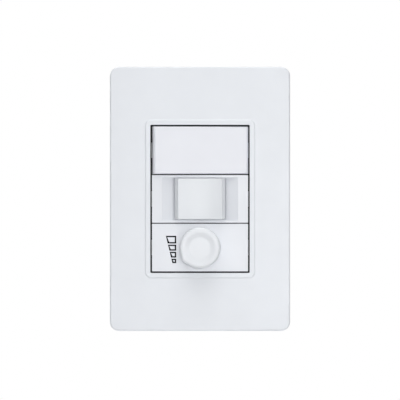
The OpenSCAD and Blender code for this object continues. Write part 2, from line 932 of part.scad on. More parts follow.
module knob_clip() {
    color("silver") in_bay(-1)
        block([-1.5, knob_front_y + 2.7, shaft_flat + 0.06], [1.5, knob_foot_y - 0.3, shaft_flat + 0.36]);
}

module pot_shaft() {
    color("lightgray") in_bay(-1) difference() {
        rod_y(shaft_r, knob_front_y + 2.3, can_y + can_len - 1.2);
        block([-4, knob_front_y, shaft_flat], [4, knob_foot_y + 0.3, 4]);
    }
}

module pot_rotor() {
    color("ivory") in_bay(-1) difference() {
        rod_y(6.6, can_y + 0.6, can_y + 2.4);
        rod_y(shaft_r, can_y, can_y + 4);
    }
}

module pot_wiper() {
    color("peru") in_bay(-1) rotate([0, -pointer_angle, 0])
        block([4.9, can_y + 0.12, -1], [6.2, can_y + 0.6, 1]);
}

module pot_bushing() {
    color("lightgray") in_bay(-1) difference() {
        union() {
            rod_y(pot_r, pot_y, wafer_y);
            rod_y(bushing_r, -4.4, pot_y + eps);
        }
        rod_y(shaft_r + 0.06, -6, wafer_y + over);
    }
}

module pot_nut() {
    across_flats = 10;
    color("silver") in_bay(-1) difference() {
        rotate([90, 0, 0]) cylinder(h = 2, r = across_flats / 2 / cos(30), $fn = 6);
        rod_y(bushing_r + 0.05, -4, 1);
    }
}

module pot_washer() {
    color("silver") in_bay(-1) difference() {
        rod_y(6.2, 0, sink_y);
        rod_y(bushing_r + 0.15, -1, 1);
    }
}

module pot_wafer() {
    color("saddlebrown") in_bay(-1) difference() {
        union() {
            rod_y(pot_r, wafer_y, can_y);
            block([-6.4, wafer_y, -8.3], [6.4, can_y, -4]);
        }
        rod_y(shaft_r + 0.2, wafer_y - over, can_y + over);
    }
}

module pot_track() {
    color("black") in_bay(-1) difference() {
        rod_y(6.5, can_y, can_y + 0.08);
        rod_y(4.7, can_y - over, can_y + over);
        block([-1.6, can_y - over, -8], [1.6, can_y + over, -3]);
    }
}

module pot_can() {
    color("silver") in_bay(-1) difference() {
        rod_y(pot_r, can_y, can_y + can_len);
        rod_y(pot_r - 0.6, can_y - over, can_y + can_len - 0.6);
    }
}

module pot_lugs() {
    color("silver") in_bay(-1) for (x = lug_rows)
        block([x - 0.5, wafer_y + 0.3, -8.7], [x + 0.5, pcb_y + pcb_t + 0.8, -8.3]);
}

// Left edge of the level marks at height z
function mark_left(z) = mark_left_top + mark_slope * (mark_top - z);
function mark_z(i) = i == 0 ? mark_top : mark_z(i - 1) - mark_heights[i - 1] - mark_gap;
function mark_quad(z0, z1, inset) = [
    [mark_left(z1) + inset, z1 - inset], [mark_right - inset, z1 - inset],
    [mark_right - inset, z0 + inset], [mark_left(z0) + inset, z0 + inset]
];

// The four outlined wedges that grow towards full brightness
module mark_rings(y0, y1) {
    for (i = [0:3]) along_y(y0, y1) difference() {
        polygon(mark_quad(mark_z(i) - mark_heights[i], mark_z(i), 0));
        polygon(mark_quad(mark_z(i) - mark_heights[i], mark_z(i), mark_stroke));
    }
}

module level_marks() {
    color("black") in_bay(-1) mark_rings(face_y - 0.02, face_y + mark_t);
}

module dimmer_fascia() {
    color("white") in_bay(-1) difference() {
        union() {
            shell_walls(face_y);
            shell_front();
            rod_y(5.6, face_y + eps, -4.8);
        }
        rod_y(shaft_r + 0.4, face_y - over, 0);
        mark_rings(face_y - over, face_y + mark_t);
        hook_windows();
    }
}

module dimmer_base() {
    inner_h = base_half_h - base_wall;
    vent_half = 0.7;
    color("dimgray") in_bay(-1) {
        difference() {
            housing(dimmer_depth);
            both_sides() clamp_ports(dimmer_depth, 0);
            for (x = [-7.5:3:7.5]) block(
                [x - vent_half, dimmer_depth - base_back - over, -7],
                [x + vent_half, dimmer_depth + over, 7]
            );
            for (x = [-9:3:9]) top_and_bottom() block(
                [x - vent_half, 18.5, inner_h - over],
                [x + vent_half, 23.5, base_half_h + over]
            );
        }
        top_and_bottom() both_sides() block(
            [16.6, pcb_y + pcb_t, 8.3],
            [18.6, dimmer_depth - base_back + eps, inner_h + eps]
        );
    }
}

module heatsink_plate() {
    color("silver") in_bay(-1) difference() {
        block([-18.8, sink_y, -8.8], [18.8, sink_y + sink_t, 8.8]);
        rod_y(bushing_r + 0.1, sink_y - over, pot_y + over);
        rod_y(1.25, sink_y - over, pot_y + over, triac_x, triac_z);
    }
}

module triac() {
    color("black") in_bay(-1) {
        difference() {
            union() {
                block([triac_x - 4.9, pot_y, 1.5], [triac_x + 4.9, pot_y + 1.3, 8]);
                block([triac_x - 4.9, pot_y, -7.4], [triac_x + 4.9, pot_y + 4.5, 1.6]);
            }
            rod_y(1.7, 0, pot_y + 4, triac_x, triac_z);
        }
        for (x = lead_rows) {
            block([x - 0.4, pot_y + 2.6, -8.2], [x + 0.4, pot_y + 3.2, -7.4 + eps]);
            block([x - 0.4, pot_y + 2.6, -8.7], [x + 0.4, pcb_y + pcb_t + 0.8, -8.2 + eps]);
        }
    }
}

module triac_screw() {
    recess = 1.9;
    recess_half = 0.4;
    color("silver") in_bay(-1) translate([triac_x, 0, triac_z]) difference() {
        union() {
            rod_y(1.2, sink_y - 1, pot_y + 1.4);
            rod_y(2.75, pot_y + 1.3, pot_y + 3.3);
        }
        block([-recess_half, pot_y + 2.3, -recess], [recess_half, pot_y + 4, recess]);
        block([-recess, pot_y + 2.3, -recess_half], [recess, pot_y + 4, recess_half]);
    }
}

module circuit_board() {
    color("darkgreen") in_bay(-1) difference() {
        block([-18.7, pcb_y, -9], [18.7, pcb_y + pcb_t, 9]);
        for (x = concat(lug_rows, lead_rows))
            block([x - 0.6, pcb_y - over, -8.9], [x + 0.6, pcb_y + 3, -8.1]);
    }
}

module choke_core() {
    color("yellow") in_bay(-1) translate(choke_at) difference() {
        rod_y(choke_mid_r + choke_half, -choke_half, choke_half);
        rod_y(choke_mid_r - choke_half, -3, 3);
    }
}

module choke_winding() {
    turns = 11;
    color("orangered") in_bay(-1) translate(choke_at) for (i = [0:turns - 1])
        rotate([0, i * 360 / turns, 0]) translate([choke_mid_r, 0, 0])
            rotate_extrude() translate([choke_half * 1.42 + 0.42, 0]) circle(r = 0.38);
}

module suppression_capacitor() {
    back = pcb_y + pcb_t;
    color("gold") in_bay(-1) block([-10.5, back, -2.6], [2.5, back + 7, 5.4]);
}

module timing_capacitor() {
    back = pcb_y + pcb_t;
    color("seagreen") in_bay(-1) block([5, back, -3], [8.6, back + 5.5, 4.5]);
}

module resistors() {
    part_y = pcb_y + pcb_t + 1.25;
    part_z = -5.6;
    half = 3;
    lead_end = 4;
    color("burlywood") in_bay(-1) for (x = [-8, 0.5]) {
        rod_x(1.15, x - half, x + half, part_y, part_z);
        rod_x(0.25, x - lead_end, x - half, part_y, part_z);
        rod_x(0.25, x + half, x + lead_end, part_y, part_z);
    }
}

module diac() {
    color("firebrick") in_bay(-1) {
        rod_x(0.95, 6.2, 9.6, pcb_y + pcb_t + 1, -6);
        rod_x(0.25, 5.2, 10.6, pcb_y + pcb_t + 1, -6);
    }
}

module dimmer_clamps() {
    color("gold") in_bay(-1) both_sides() clamp(dimmer_depth, 0);
}

module dimmer_clamp_screws() {
    color("silver") in_bay(-1) both_sides() clamp_screw(dimmer_depth, 0);
}

// ---------------------------------------------------------------- nodes

cover_plate();
support_frame();
box_screws();
rocker_key();
rocker_cradle();
rocker_spring();
rocker_plunger();
switch_frame();
switch_base();
contact_lever();
lever_contact();
load_strip();
fixed_contact();
common_bracket();
switch_clamps();
switch_clamp_screws();
slide_key();
slide_carriage();
slide_bridge();
bridge_springs();
slide_fascia();
slide_base();
contact_board();
slide_common_rail();
slide_left_pad();
slide_right_pad();
detent_spring();
slide_clamps();
slide_clamp_screws();
dimmer_knob();
knob_clip();
pot_shaft();
pot_rotor();
pot_wiper();
pot_bushing();
pot_nut();
pot_washer();
pot_wafer();
pot_track();
pot_can();
pot_lugs();
dimmer_fascia();
level_marks();
dimmer_base();
heatsink_plate();
triac();
triac_screw();
circuit_board();
choke_core();
choke_winding();
suppression_capacitor();
timing_capacitor();
resistors();
diac();
dimmer_clamps();
dimmer_clamp_screws();
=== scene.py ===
"""Looks of the dimmer wall switch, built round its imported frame.

Shapes are drawn in millimetres and stored in metres. X is to the right, Y away from the room and Z up.
"""

import json
import math

import bmesh
import bpy
from mathutils import Matrix, Vector


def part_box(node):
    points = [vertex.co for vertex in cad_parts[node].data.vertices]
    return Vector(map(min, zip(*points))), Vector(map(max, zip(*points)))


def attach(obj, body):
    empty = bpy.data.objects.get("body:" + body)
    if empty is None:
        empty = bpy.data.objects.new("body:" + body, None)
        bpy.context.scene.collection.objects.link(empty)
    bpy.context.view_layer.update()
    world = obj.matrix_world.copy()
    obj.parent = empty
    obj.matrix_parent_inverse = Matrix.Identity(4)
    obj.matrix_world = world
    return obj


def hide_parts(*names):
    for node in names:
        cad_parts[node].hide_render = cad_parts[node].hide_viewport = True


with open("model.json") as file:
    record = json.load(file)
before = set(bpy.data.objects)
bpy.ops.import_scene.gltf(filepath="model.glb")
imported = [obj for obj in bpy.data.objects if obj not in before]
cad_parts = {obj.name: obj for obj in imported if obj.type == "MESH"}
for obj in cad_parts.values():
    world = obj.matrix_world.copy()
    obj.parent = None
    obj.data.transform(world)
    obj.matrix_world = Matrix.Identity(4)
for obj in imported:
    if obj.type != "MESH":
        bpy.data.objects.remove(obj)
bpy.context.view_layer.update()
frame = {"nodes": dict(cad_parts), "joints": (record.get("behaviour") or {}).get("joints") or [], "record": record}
nodes = frame["nodes"]
record = frame["record"]
joints = {j["name"]: j for j in frame["joints"]}
mounts = {m["name"]: m for m in record["mounts"]}
body_of_node = {node: body for body, members in record["behaviour"]["bodies"].items() for node in members}
slot_of_node = {s["node"]: s["material_slot"] for s in record["subparts"]}

MM = 0.001


# ---------------------------------------------------------------- sizes

def span(node):
    """Lowest and highest corner of a CAD node, in millimetres."""
    low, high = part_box(node)
    return low / MM, high / MM


def joint_point(name):
    """The point that a joint turns about, in millimetres."""
    return Vector(joints[name]["pos_m"]) / MM


# ---------------------------------------------------------------- materials

def new_material(name):
    """A material, its node tree, its shader, object coordinates, and a function that adds linked nodes."""
    material = bpy.data.materials.new(name)
    material.use_nodes = True
    tree = material.node_tree
    shader = tree.nodes["Principled BSDF"]
    coords = tree.nodes.new("ShaderNodeTexCoord")

    def add(kind, **values):
        node = tree.nodes.new(kind)
        for key, value in values.items():
            if key in node.inputs:
                if isinstance(value, bpy.types.NodeSocket):
                    tree.links.new(value, node.inputs[key])
                else:
                    node.inputs[key].default_value = value
            else:
                setattr(node, key, value)
        return node

    return material, tree, shader, coords.outputs["Object"], add


def noise(add, vector, size_mm, detail=3, rough=0.5, stretch=(1, 1, 1)):
    """Noise whose features are about size_mm across, and stretch times that along each axis."""
    scaled = add("ShaderNodeMapping", Vector=vector)
    scaled.inputs["Scale"].default_value = [1 / (s * size_mm * MM) for s in stretch]
    made = add("ShaderNodeTexNoise", Vector=scaled.outputs["Vector"], Detail=detail, Roughness=rough)
    made.inputs["Scale"].default_value = 1
    return made.outputs["Fac"]


def ramp(add, value, low, high, low_at=0.3, high_at=0.7):
    """A colour that runs from low, where value is low_at, to high, where it is high_at."""
    made = add("ShaderNodeValToRGB", Fac=value)
    made.color_ramp.elements[0].position = low_at
    made.color_ramp.elements[0].color = (*low, 1)
    made.color_ramp.elements[1].position = high_at
    made.color_ramp.elements[1].color = (*high, 1)
    return made.outputs["Color"]


def spread(add, value, low, high):
    """Maps 0..1 to low..high."""
    made = add("ShaderNodeMapRange", Value=value)
    made.inputs["To Min"].default_value = low
    made.inputs["To Max"].default_value = high
    return made.outputs["Result"]


def shade(colour, k):
    """A colour made k times as light."""
    return tuple(min(1, c * k) for c in colour)


def bump(tree, add, shader, height, depth_mm):
    """Raises the surface by up to depth_mm where height is 1."""
    made = add("ShaderNodeBump", Height=height, Strength=1, Distance=depth_mm * MM)
    tree.links.new(made.outputs["Normal"], shader.inputs["Normal"])


def plastic(name, colour, roughness, grain_mm=0.35, grain_depth=0.004, mottle=0.012):
    """Moulded plastic: a fine surface grain, slow flow mottling and slightly uneven gloss."""
    material, tree, shader, here, add = new_material(name)
    flow = noise(add, here, size_mm=14, detail=2)
    tint = ramp(add, flow, shade(colour, 1 - mottle), shade(colour, 1 + mottle))
    tree.links.new(tint, shader.inputs["Base Color"])
    grain = noise(add, here, grain_mm, detail=2)
    gloss = noise(add, here, size_mm=5)
    tree.links.new(spread(add, gloss, roughness - 0.05, roughness + 0.05), shader.inputs["Roughness"])
    bump(tree, add, shader, grain, grain_depth)
    shader.inputs["IOR"].default_value = 1.49
    return material


def metal(name, colour, roughness, grain_mm, stretch=(1, 1, 1)):
    """Plated or drawn metal: grain that can run along one direction, with uneven tarnish."""
    material, tree, shader, here, add = new_material(name)
    tarnish = noise(add, here, size_mm=3.5, detail=4)
    tree.links.new(ramp(add, tarnish, shade(colour, 0.88), colour), shader.inputs["Base Color"])
    grain = noise(add, here, grain_mm, rough=0.6, stretch=stretch)
    tree.links.new(spread(add, grain, roughness - 0.08, roughness + 0.1), shader.inputs["Roughness"])
    bump(tree, add, shader, grain, depth_mm=0.003)
    shader.inputs["Metallic"].default_value = 1
    return material


def board(name, colour, line_colour, pitch_mm):
    """A circuit board: solder mask with lighter copper tracks under it."""
    material, tree, shader, here, add = new_material(name)
    scale = 1 / (pitch_mm * MM)
    cells = add("ShaderNodeTexVoronoi", Vector=here, Scale=scale, distance="MANHATTAN", feature="F1")
    tracks = ramp(add, cells.outputs["Distance"], line_colour, colour, low_at=0.28, high_at=0.33)
    tree.links.new(tracks, shader.inputs["Base Color"])
    bump(tree, add, shader, cells.outputs["Distance"], depth_mm=0.03)
    shader.inputs["Roughness"].default_value = 0.35
    return material


def ink(name, colour):
    """Pad-printed ink: nearly black, matt, with a slightly broken film."""
    material, tree, shader, here, add = new_material(name)
    film = noise(add, here, size_mm=0.12)
    tint = ramp(add, film, colour, shade(colour, 1.8), low_at=0.45, high_at=0.8)
    tree.links.new(tint, shader.inputs["Base Color"])
    bump(tree, add, shader, film, depth_mm=0.002)
    shader.inputs["Roughness"].default_value = 0.7
    shader.inputs["Specular IOR Level"].default_value = 0.15
    return material


# for each slot of the record: name, colour, roughness and grain size,
# then the grain's depth and the mottling of a plastic, or the stretch of a metal's grain
LOOKS = {
    "plate_white": plastic("plate white", (0.795, 0.820, 0.860), 0.42),
    "rocker_white": plastic("rocker white", (0.798, 0.812, 0.862), 0.36, grain_depth=0.003),
    "fascia_white": plastic("fascia white", (0.786, 0.807, 0.848), 0.40, grain_depth=0.003),
    "slide_white": plastic("slide white", (0.776, 0.801, 0.833), 0.38, grain_depth=0.003),
    "knob_white": plastic("knob white", (0.788, 0.811, 0.845), 0.38, grain_depth=0.003),
    "frame_plastic": plastic("frame plastic", (0.024, 0.025, 0.027), 0.60, 0.25, 0.008, 0.08),
    "housing_plastic": plastic("housing plastic", (0.045, 0.047, 0.050), 0.60, 0.22, 0.012, 0.10),
    "natural_nylon": plastic("natural nylon", (0.70, 0.67, 0.58), 0.50),
    "grey_acetal": plastic("grey acetal", (0.10, 0.105, 0.115), 0.35),
    "mark_ink": ink("mark ink", (0.004, 0.004, 0.005)),
    "zinc_steel": metal("zinc steel", (0.62, 0.64, 0.66), 0.30, 0.4),
    "spring_steel": metal("spring steel", (0.50, 0.51, 0.53), 0.28, 0.15),
    "brass": metal("brass", (0.80, 0.58, 0.24), 0.30, 0.3),
    "copper": metal("copper", (0.80, 0.40, 0.22), 0.32, 0.3),
    "silver_alloy": metal("silver alloy", (0.85, 0.84, 0.80), 0.25, 0.2),
    "aluminium": metal("aluminium", (0.72, 0.73, 0.74), 0.34, 0.2, (6, 1, 1)),
    "die_cast": metal("die cast zinc", (0.50, 0.51, 0.53), 0.45, 0.5),
    "phenolic": plastic("phenolic board", (0.16, 0.075, 0.035), 0.45, 0.5, 0.006, 0.15),
    "carbon_track": plastic("carbon film", (0.012, 0.012, 0.012), 0.35, 0.1, 0.003, 0.2),
    "circuit_green": board("solder mask", (0.010, 0.10, 0.035), (0.03, 0.22, 0.08), 2.2),
    "black_epoxy": plastic("black epoxy", (0.018, 0.018, 0.020), 0.50, 0.2, 0.010, 0.1),
    "ferrite": plastic("coated ferrite", (0.62, 0.46, 0.05), 0.45, 0.3, 0.010, 0.08),
    "enamel_wire": metal("enamelled wire", (0.48, 0.16, 0.06), 0.22, 0.3),
    "yellow_case": plastic("yellow case", (0.72, 0.45, 0.04), 0.35, 0.4, 0.006, 0.05),
    "green_film": plastic("dipped film", (0.02, 0.16, 0.07), 0.25, 0.8, 0.02, 0.08),
    "resistor_body": plastic("resistor lacquer", (0.55, 0.40, 0.21), 0.35, 0.5, 0.01, 0.08),
    "diac_glass": plastic("diac body", (0.03, 0.10, 0.32), 0.15, 0.6, 0.004, 0.08),
}


# ---------------------------------------------------------------- mesh tools

CORNER_STEPS = 8  # steps round each corner of a loop, unless a piece asks for more


def points_round(steps):
    """How many points a loop has, with this many steps round each of its four corners."""
    return 4 * (steps + 1)


def rect_loop(half, inset, corner, y, z=0.0, steps=CORNER_STEPS):
    """A rounded rectangle facing the room, inset from its half sizes, from the right and over the top."""
    across, up = half[0] - inset - corner, half[1] - inset - corner
    points = []
    for turn, (sx, sz) in enumerate([(1, 1), (-1, 1), (-1, -1), (1, -1)]):
        for i in range(steps + 1):
            a = math.radians(90 * (turn + i / steps))
            points.append(Vector((sx * across + corner * math.cos(a), y, z + sz * up + corner * math.sin(a))))
    return points


def circle_loop(radius, y, x=0.0, z=0.0, steps=CORNER_STEPS):
    """A circle with as many points as rect_loop has, lined up with its corners."""
    count = points_round(steps)
    angles = [2 * math.pi * (i + 0.5) / count for i in range(count)]
    return [Vector((x + radius * math.cos(a), y, z + radius * math.sin(a))) for a in angles]


def fillet(radius, steps):
    """Steps round a quarter circle, as (inset, drop): from (0, radius) to (radius, 0)."""
    angles = [math.radians(90 * i / steps) for i in range(steps + 1)]
    return [(radius * (1 - math.cos(a)), radius * (1 - math.sin(a))) for a in angles]


def add_loft(bm, loops, closed=False):
    """Skins the loops in turn. The ends are capped, or joined to each other if closed."""
    rings = [[bm.verts.new(p) for p in loop] for loop in loops]
    count = len(rings[0])
    following = rings[1:] + rings[:1] if closed else rings[1:]
    for a, b in zip(rings, following):
        for i in range(count):
            j = (i + 1) % count
            bm.faces.new((a[i], a[j], b[j], b[i]))
    if not closed:
        bm.faces.new(list(reversed(rings[0])))
        bm.faces.new(rings[-1])


def add_box(bm, low, high):
    """A box between two corners."""
    xs, ys, zs = zip(low, high)
    corners = [bm.verts.new((x, y, z)) for x in xs for y in ys for z in zs]
    for face in ((0, 1, 3, 2), (4, 6, 7, 5), (0, 4, 5, 1), (2, 3, 7, 6), (0, 2, 6, 4), (1, 5, 7, 3)):
        bm.faces.new([corners[i] for i in face])


def add_prism(bm, outline, z0, z1):
    """An outline in X and Y, drawn out from z0 to z1."""
    low = [bm.verts.new((x, y, z0)) for x, y in outline]
    high = [bm.verts.new((x, y, z1)) for x, y in outline]
    for i in range(len(outline)):
        j = (i + 1) % len(outline)
        bm.faces.new((low[i], low[j], high[j], high[i]))
    bm.faces.new(list(reversed(low)))
    bm.faces.new(high)


def add_node(bm, node):
    """A CAD node's solid with its flat faces whole again, ready for bevels."""
    bm.from_mesh(nodes[node].data)
    bmesh.ops.scale(bm, vec=(1 / MM,) * 3, verts=bm.verts)
    bmesh.ops.remove_doubles(bm, verts=bm.verts, dist=0.0005)
    bmesh.ops.dissolve_limit(bm, angle_limit=math.radians(0.5), verts=bm.verts, edges=bm.edges)


def piece(name, bm, like, bevel=0.0, segments=2, smooth=30, turn=None):
    """A visible piece made from bm, which stands for CAD node like, on its body and with its finish.

    Edges sharper than smooth degrees get a bevel, or stay sharp if there is none. Turn places the mesh first.
    """
    bmesh.ops.recalc_face_normals(bm, faces=bm.faces)
    if turn:
        bmesh.ops.transform(bm, matrix=turn, verts=bm.verts)
    mesh = bpy.data.meshes.new(name)
    bm.to_mesh(mesh)
    bm.free()
    mesh.transform(Matrix.Scale(MM, 4))
    mesh.materials.append(LOOKS[slot_of_node[like]])
    mesh.shade_smooth()
    obj = bpy.data.objects.new(name, mesh)
    bpy.context.scene.collection.objects.link(obj)
    if bevel:
        edge = obj.modifiers.new("edges", "BEVEL")
        edge.width = bevel * MM
        edge.segments = segments
        edge.limit_method = "ANGLE"
        edge.angle_limit = math.radians(smooth)
        edge.use_clamp_overlap = True
        edge.harden_normals = False
    else:
        mesh.set_sharp_from_angle(angle=math.radians(smooth))
    weigh = obj.modifiers.new("normals", "WEIGHTED_NORMAL")
    weigh.keep_sharp = True
    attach(obj, body_of_node[like])
    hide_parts(like)


def refined(node, bevel):
    """A CAD node's own shape with its edges rounded."""
    bm = bmesh.new()
    add_node(bm, node)
    piece(node + "_body", bm, node, bevel)


# ---------------------------------------------------------------- cover plate

PLATE_CORNER = 4.2
PLATE_RIM = 0.8  # the roll round the face
PLATE_SKIN = 1.8
PLATE_FOOT = ((0.3, 0), (0.08, 0.1), (0, 0.35))  # its rear edge: inset, and distance ahead of the back
FACE_MARGIN, FACE_CORNER = 1.6, 2.2  # a loop that keeps the face flat inside its rim
INNER_CORNER, INNER_FILLET = 2.4, 0.3
LIP_WIDTH = 2.3
LIP_PROUD = 0.35
LIP_CORNER = 2.7
LIP_MARGIN, LIP_MARGIN_CORNER = 0.5, 3.1  # a loop that keeps the face flat round the lip
# the lip's outer slope: inset, and height over the face
LIP_SLOPE = ((-0.2, 0), (-0.08, 0.05), (0.02, 0.14), (0.12, 0.23), (0.26, 0.31), (0.45, 0.35), (0.7, 0.35))
OPENING_HALF = (22.55, 33.65)
OPENING_CORNER, OPENING_EDGE = 0.5, 0.1
SKIRT_WALL, SKIRT_CORNER, SKIRT_BACK = 1.3, 0.7, -5.4
RIB_Z = (-52, -45, 45, 52)
RIB_HALF, RIB_HEIGHT = 0.5, 1.6
PRONG_X, PRONG_Z = 29, 22
PRONG_HALF = (0.7, 3.5)
PRONG_TIP = -0.4
# the bead on each prong: distance out from the prong's middle, and Y
BEAD = ((0.6, -1.6), (0.7, -1.6), (0.95, -1.2), (0.7, -0.8), (0.6, -0.8))
BEAD_HALF = 2.5
ROOTED = 0.3  # how far ribs and prongs reach into the skin
NOTCH_HALF, NOTCH_Y = 4, -1.6  # the pry notch: half its width, and where it ends
NOTCH_MARGIN = 0.1  # how far above the lower wall its cut reaches


def convex_face(bm, verts, across):
    """A face through verts that lie in one plane, put in order round their middle."""
    middle = sum((v.co for v in verts), Vector()) / len(verts)
    i, j = across
    bm.faces.new(sorted(verts, key=lambda v: math.atan2(v.co[j] - middle[j], v.co[i] - middle[i])))


def cut_notch(bm, below):
    """Opens the notch for a screwdriver in the lower wall, behind NOTCH_Y."""
    cuts = (
        ((-NOTCH_HALF, 0, 0), (1, 0, 0)),
        ((NOTCH_HALF, 0, 0), (1, 0, 0)),
        ((0, NOTCH_Y, 0), (0, 1, 0)),
    )
    for point, normal in cuts:
        near = [
            f for f in bm.faces
            if min(v.co.z for v in f.verts) < below and max(v.co.y for v in f.verts) > NOTCH_Y
        ]
        edges = dict.fromkeys(e for f in near for e in f.edges)
        verts = dict.fromkeys(v for f in near for v in f.verts)
        bmesh.ops.bisect_plane(bm, geom=[*near, *edges, *verts], plane_co=point, plane_no=normal, dist=0.0001)
    gone = []
    for f in bm.faces:
        middle = f.calc_center_median()
        if abs(middle.x) < NOTCH_HALF and middle.y > NOTCH_Y + 0.001 and middle.z < below:
            gone.append(f)
    bmesh.ops.delete(bm, geom=gone, context="FACES")
    rim = dict.fromkeys(v for e in bm.edges if e.is_boundary for v in e.verts)
    for x in (-NOTCH_HALF, NOTCH_HALF):
        convex_face(bm, [v for v in rim if abs(v.co.x - x) < 0.001], (1, 2))
    convex_face(bm, [v for v in rim if abs(v.co.y - NOTCH_Y) < 0.001], (0, 2))


def add_ribs(bm, half_w, inner_y):
    """The ribs across the back of the plate's skin."""
    reach = half_w - PLATE_SKIN + ROOTED
    for z in RIB_Z:
        add_box(bm, (-reach, inner_y - ROOTED, z - RIB_HALF), (reach, inner_y + RIB_HEIGHT, z + RIB_HALF))


def add_prongs(bm, inner_y):
    """The four snap prongs, each with a bead on its right side."""
    half_x, half_z = PRONG_HALF
    for x in (-PRONG_X, PRONG_X):
        for z in (-PRONG_Z, PRONG_Z):
            add_box(bm, (x - half_x, inner_y - ROOTED, z - half_z), (x + half_x, PRONG_TIP, z + half_z))
            add_prism(bm, [(x + out, y) for out, y in BEAD], z - BEAD_HALF, z + BEAD_HALF)


def cover_plate():
    """The snap-on plate: one closed skin round its outside, lip, opening, skirt and inside."""
    low, high = span("cover_plate")
    lip_y, back = low.y, high.y
    face = lip_y + LIP_PROUD
    inner_y = face + PLATE_SKIN
    plate = (high.x, high.z)
    opening = OPENING_HALF
    lip = [size + LIP_WIDTH for size in opening]
    loops = [rect_loop(plate, inset, PLATE_CORNER - inset, back - ahead) for inset, ahead in PLATE_FOOT]
    loops += [rect_loop(plate, inset, PLATE_CORNER - inset, face + drop) for inset, drop in fillet(PLATE_RIM, 8)]
    loops.append(rect_loop(plate, FACE_MARGIN, FACE_CORNER, face))
    loops.append(rect_loop(lip, -LIP_MARGIN, LIP_MARGIN_CORNER, face))
    loops += [rect_loop(lip, inset, LIP_CORNER - inset, face - rise) for inset, rise in LIP_SLOPE]
    for out, drop in reversed(fillet(OPENING_EDGE, 4)):
        loops.append(rect_loop(opening, -out, OPENING_CORNER + out, lip_y + drop))
    loops += [
        rect_loop(opening, 0, OPENING_CORNER, SKIRT_BACK),
        rect_loop(opening, -SKIRT_WALL, SKIRT_CORNER, SKIRT_BACK),
        rect_loop(opening, -SKIRT_WALL, SKIRT_CORNER, inner_y),
        rect_loop(plate, PLATE_SKIN + INNER_FILLET, INNER_CORNER - INNER_FILLET, inner_y),
        rect_loop(plate, PLATE_SKIN, INNER_CORNER, inner_y + INNER_FILLET),
        rect_loop(plate, PLATE_SKIN, INNER_CORNER, back),
    ]
    bm = bmesh.new()
    add_loft(bm, loops, closed=True)
    cut_notch(bm, PLATE_SKIN + NOTCH_MARGIN - high.z)
    add_ribs(bm, high.x, inner_y)
    add_prongs(bm, inner_y)
    piece("cover_plate_moulding", bm, "cover_plate")


cover_plate()


# ---------------------------------------------------------------- rocker key

ROCKER_TILT = 4.5
ROCKER_HALF = (21.65, 10.75)
ROCKER_FRONT, ROCKER_FOOT = -9.9, -5.2  # before it is tilted
ROCKER_CORNER = 0.35
ROCKER_WALL, ROCKER_SKIN, ROCKER_INNER_CORNER = 1.2, 1.5, 0.3
ROCKER_END_ROUND, ROCKER_SIDE_ROUND = 1.3, 0.4


def rocker_key():
    """The wide key, drawn level and then tilted about its pivot."""
    pivot = joint_point("rocker_tilt")
    half_w, half_h = ROCKER_HALF
    loops = [
        rect_loop(ROCKER_HALF, ROCKER_WALL, ROCKER_INNER_CORNER, ROCKER_FRONT + ROCKER_SKIN, pivot.z),
        rect_loop(ROCKER_HALF, ROCKER_WALL, ROCKER_INNER_CORNER, ROCKER_FOOT, pivot.z),
        rect_loop(ROCKER_HALF, 0, ROCKER_CORNER, ROCKER_FOOT, pivot.z),
    ]
    for inset, drop in fillet(ROCKER_END_ROUND, 7):
        rounded = (half_w - inset, half_h - inset * ROCKER_SIDE_ROUND / ROCKER_END_ROUND)
        loops.append(rect_loop(rounded, 0, ROCKER_CORNER, ROCKER_FRONT + drop, pivot.z))
    bm = bmesh.new()
    add_loft(bm, loops)
    tilt = Matrix.Rotation(math.radians(ROCKER_TILT), 4, "Z")
    turn = Matrix.Translation(pivot) @ tilt @ Matrix.Translation(-pivot)
    piece("rocker_key_moulding", bm, "rocker_key", turn=turn)


rocker_key()


# ---------------------------------------------------------------- slide key

SLIDE_UNDER = -8.95
SLIDE_SLOPE = 1.5  # how far each side leans in
SLIDE_SKIRT = 0.55  # the upright foot of each side
SLIDE_DISH = 1.0
SLIDE_ARC_STEPS = 24
NECK_HALF = (2.6, 3.4)
NECK_ROOTED = 0.2


def slide_key():
    """The key's profile, drawn up its height: two leaning sides and a dish for the finger."""
    low, high = span("slide_key")
    half_w, half_h, top = high.x, high.z, low.y
    top_half = half_w - SLIDE_SLOPE
    radius = (top_half ** 2 + SLIDE_DISH ** 2) / (2 * SLIDE_DISH)
    sweep = math.asin(top_half / radius)
    arc = [
        (radius * math.sin(sweep * t), top + SLIDE_DISH - radius + radius * math.cos(sweep * t))
        for t in (2 * i / SLIDE_ARC_STEPS - 1 for i in range(SLIDE_ARC_STEPS + 1))
    ]
    skirt = SLIDE_UNDER - SLIDE_SKIRT
    outline = [(-half_w, SLIDE_UNDER), (-half_w, skirt), *arc, (half_w, skirt), (half_w, SLIDE_UNDER)]
    neck_w, neck_h = NECK_HALF
    bm = bmesh.new()
    add_prism(bm, outline, -half_h, half_h)
    add_box(bm, (-neck_w, SLIDE_UNDER - NECK_ROOTED, -neck_h), (neck_w, high.y, neck_h))
    piece("slide_key_moulding", bm, "slide_key", bevel=0.12, segments=3)


slide_key()


# ---------------------------------------------------------------- dimmer knob

